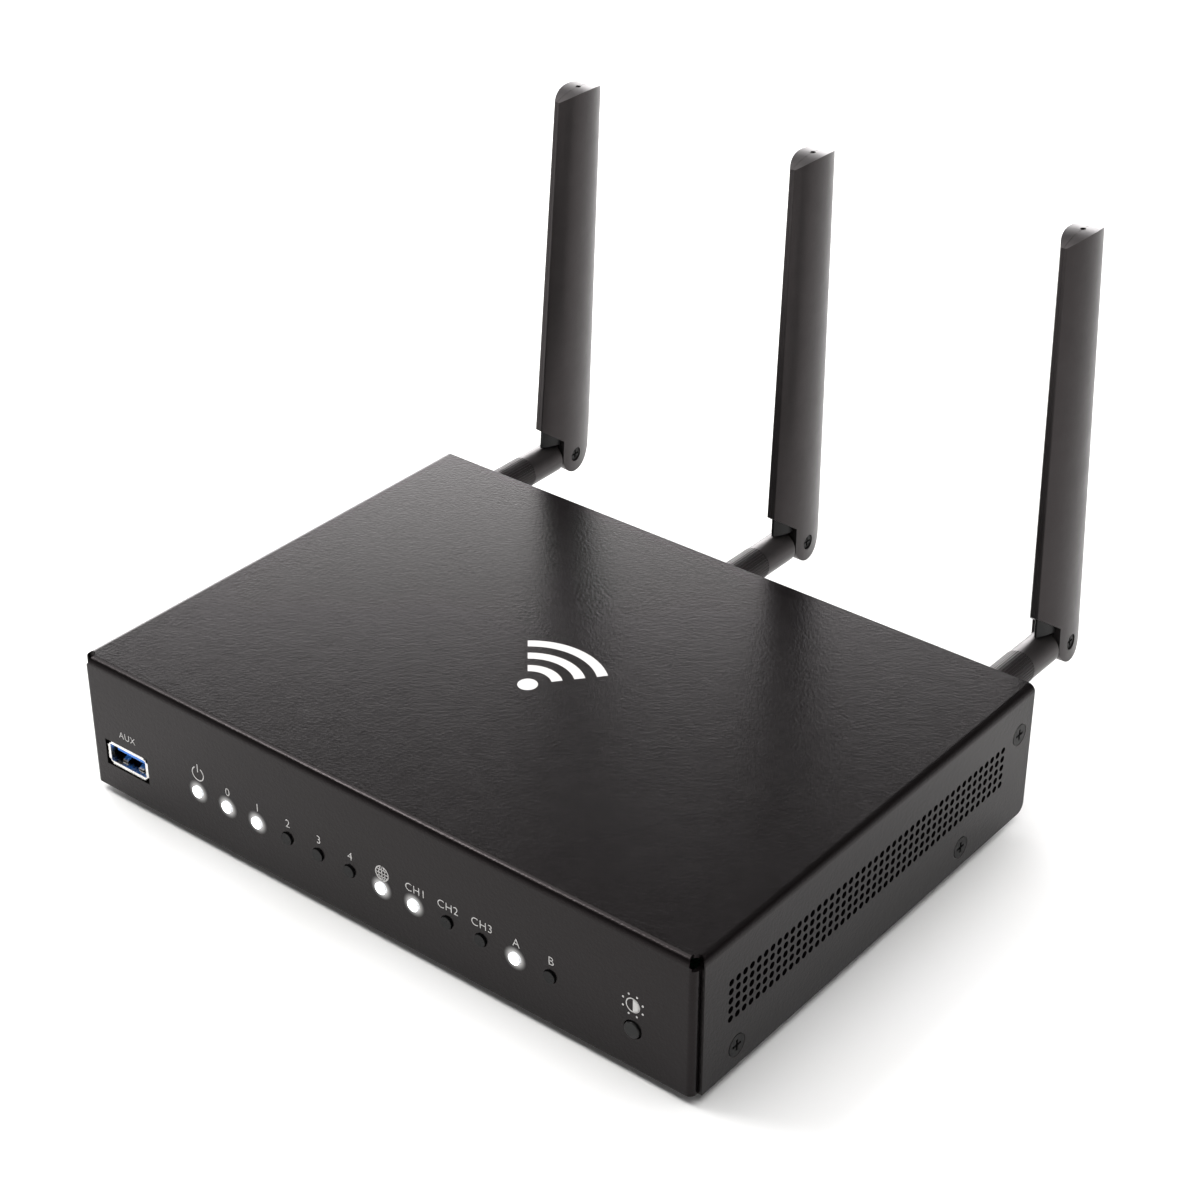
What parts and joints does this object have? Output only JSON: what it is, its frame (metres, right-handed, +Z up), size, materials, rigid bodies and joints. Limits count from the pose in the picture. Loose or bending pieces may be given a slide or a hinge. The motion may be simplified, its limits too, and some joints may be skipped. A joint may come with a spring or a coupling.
{
  "type": "desktop wifi router node",
  "caption": "Low folded-steel desktop wifi node with front lights and socket, side vents and folding paddle antennas.",
  "frame": {"origin": "centre of the whole object's box, on the surface that the feet stand on", "axes": "+X to the object's right seen from its front, +Y to the rear where the antennas are, +Z up"},
  "size_m": [0.19, 0.1804, 0.1418],
  "materials": {
    "case_paint": "fine black powder coat",
    "black_screw": "black oxide, satin",
    "rubber": "matte black",
    "board_green": "green solder mask",
    "steel": "bright zinc plate",
    "nickel": "bright nickel plate",
    "brass": "gold flash",
    "pipe_lit": "clear, lit white",
    "pipe_dark": "clear, unlit",
    "black_plastic": "fine satin black",
    "socket_blue": "satin blue",
    "antenna_plastic": "fine matte black",
    "chip": "matte moulded",
    "led_package": "white moulded",
    "aluminium": "brushed",
    "pad_grey": "soft grey",
    "copper": "plain copper sheet"
  },
  "bodies": {
    "case": {"top_cover": "case_paint", "bottom_tray": "case_paint", "case_screws": "black_screw", "rubber_feet": "rubber", "main_board": "board_green", "board_standoffs": "steel", "board_screws": "steel", "status_leds": "led_package", "light_pipes_lit": "pipe_lit", "light_pipes_unlit": "pipe_dark", "light_pipe_bar": "black_plastic", "front_usb_shell": "nickel", "rear_usb_shell": "nickel", "usb_tongues": "socket_blue", "usb_contacts": "nickel", "brightness_switch": "black_plastic", "reset_switch": "black_plastic", "wan_jack": "steel", "lan_jacks": "steel", "network_jack_contacts": "brass", "dc_jack": "black_plastic", "dc_jack_pin": "nickel", "board_chips": "chip", "thermal_pad": "pad_grey", "heat_sink": "aluminium", "power_inductors": "chip", "capacitors": "aluminium", "card_sockets": "black_plastic", "wifi_card_a": "board_green", "wifi_card_b": "board_green", "antenna_jacks": "brass", "jack_washers": "steel", "jack_nuts": "brass", "pigtail_1": "rubber", "pigtail_2": "rubber", "pigtail_3": "rubber"},
    "brightness_button": {"brightness_button": "black_plastic"},
    "reset_button": {"reset_button": "black_plastic"},
    "coupling_nut_1": {"antenna_1_coupling_nut": "antenna_plastic"},
    "barrel_1": {"antenna_1_barrel": "antenna_plastic"},
    "blade_1": {"antenna_1_right_shell": "antenna_plastic", "antenna_1_left_shell": "antenna_plastic", "antenna_1_hinge_block": "black_plastic", "antenna_1_hinge_screw": "black_screw", "antenna_1_radiator": "copper"},
    "coupling_nut_2": {"antenna_2_coupling_nut": "antenna_plastic"},
    "barrel_2": {"antenna_2_barrel": "antenna_plastic"},
    "blade_2": {"antenna_2_right_shell": "antenna_plastic", "antenna_2_left_shell": "antenna_plastic", "antenna_2_hinge_block": "black_plastic", "antenna_2_hinge_screw": "black_screw", "antenna_2_radiator": "copper"},
    "coupling_nut_3": {"antenna_3_coupling_nut": "antenna_plastic"},
    "barrel_3": {"antenna_3_barrel": "antenna_plastic"},
    "blade_3": {"antenna_3_right_shell": "antenna_plastic", "antenna_3_left_shell": "antenna_plastic", "antenna_3_hinge_block": "black_plastic", "antenna_3_hinge_screw": "black_screw", "antenna_3_radiator": "copper"}
  },
  "joints": [
    {"name": "brightness_press", "type": "slide", "parent": "case", "child": "brightness_button", "axis": [0, 1, 0], "range_m": [0, 0.0005], "stiffness_N_per_m": 1500, "springref_m": -0.0003},
    {"name": "reset_press", "type": "slide", "parent": "case", "child": "reset_button", "axis": [0, -1, 0], "range_m": [0, 0.0005], "stiffness_N_per_m": 1500, "springref_m": -0.0003},
    {"name": "nut_spin_1", "type": "hinge", "parent": "case", "child": "coupling_nut_1", "pos_m": [-0.081, 0.05525, 0.0305], "axis": [0, 1, 0], "continuous": true},
    {"name": "swivel_1", "type": "hinge", "parent": "case", "child": "barrel_1", "pos_m": [-0.081, 0.08045, 0.0305], "axis": [0, 1, 0], "range_deg": [-93.5, 31.5]},
    {"name": "fold_1", "type": "hinge", "parent": "barrel_1", "child": "blade_1", "pos_m": [-0.081, 0.08045, 0.0305], "axis": [-0.9981, 0, 0.061], "range_deg": [0, 90]},
    {"name": "nut_spin_2", "type": "hinge", "parent": "case", "child": "coupling_nut_2", "pos_m": [0, 0.05525, 0.0305], "axis": [0, 1, 0], "continuous": true},
    {"name": "swivel_2", "type": "hinge", "parent": "case", "child": "barrel_2", "pos_m": [0, 0.08045, 0.0305], "axis": [0, 1, 0], "range_deg": [-35.5, 34.5]},
    {"name": "fold_2", "type": "hinge", "parent": "barrel_2", "child": "blade_2", "pos_m": [0, 0.08045, 0.0305], "axis": [-1, 0, 0.0087], "range_deg": [0, 90]},
    {"name": "nut_spin_3", "type": "hinge", "parent": "case", "child": "coupling_nut_3", "pos_m": [0.081, 0.05525, 0.0305], "axis": [0, 1, 0], "continuous": true},
    {"name": "swivel_3", "type": "hinge", "parent": "case", "child": "barrel_3", "pos_m": [0.081, 0.08045, 0.0305], "axis": [0, 1, 0], "range_deg": [-33, 92]},
    {"name": "fold_3", "type": "hinge", "parent": "barrel_3", "child": "blade_3", "pos_m": [0.081, 0.08045, 0.0305], "axis": [-0.9994, 0, -0.0349], "range_deg": [0, 90]}
  ]
}
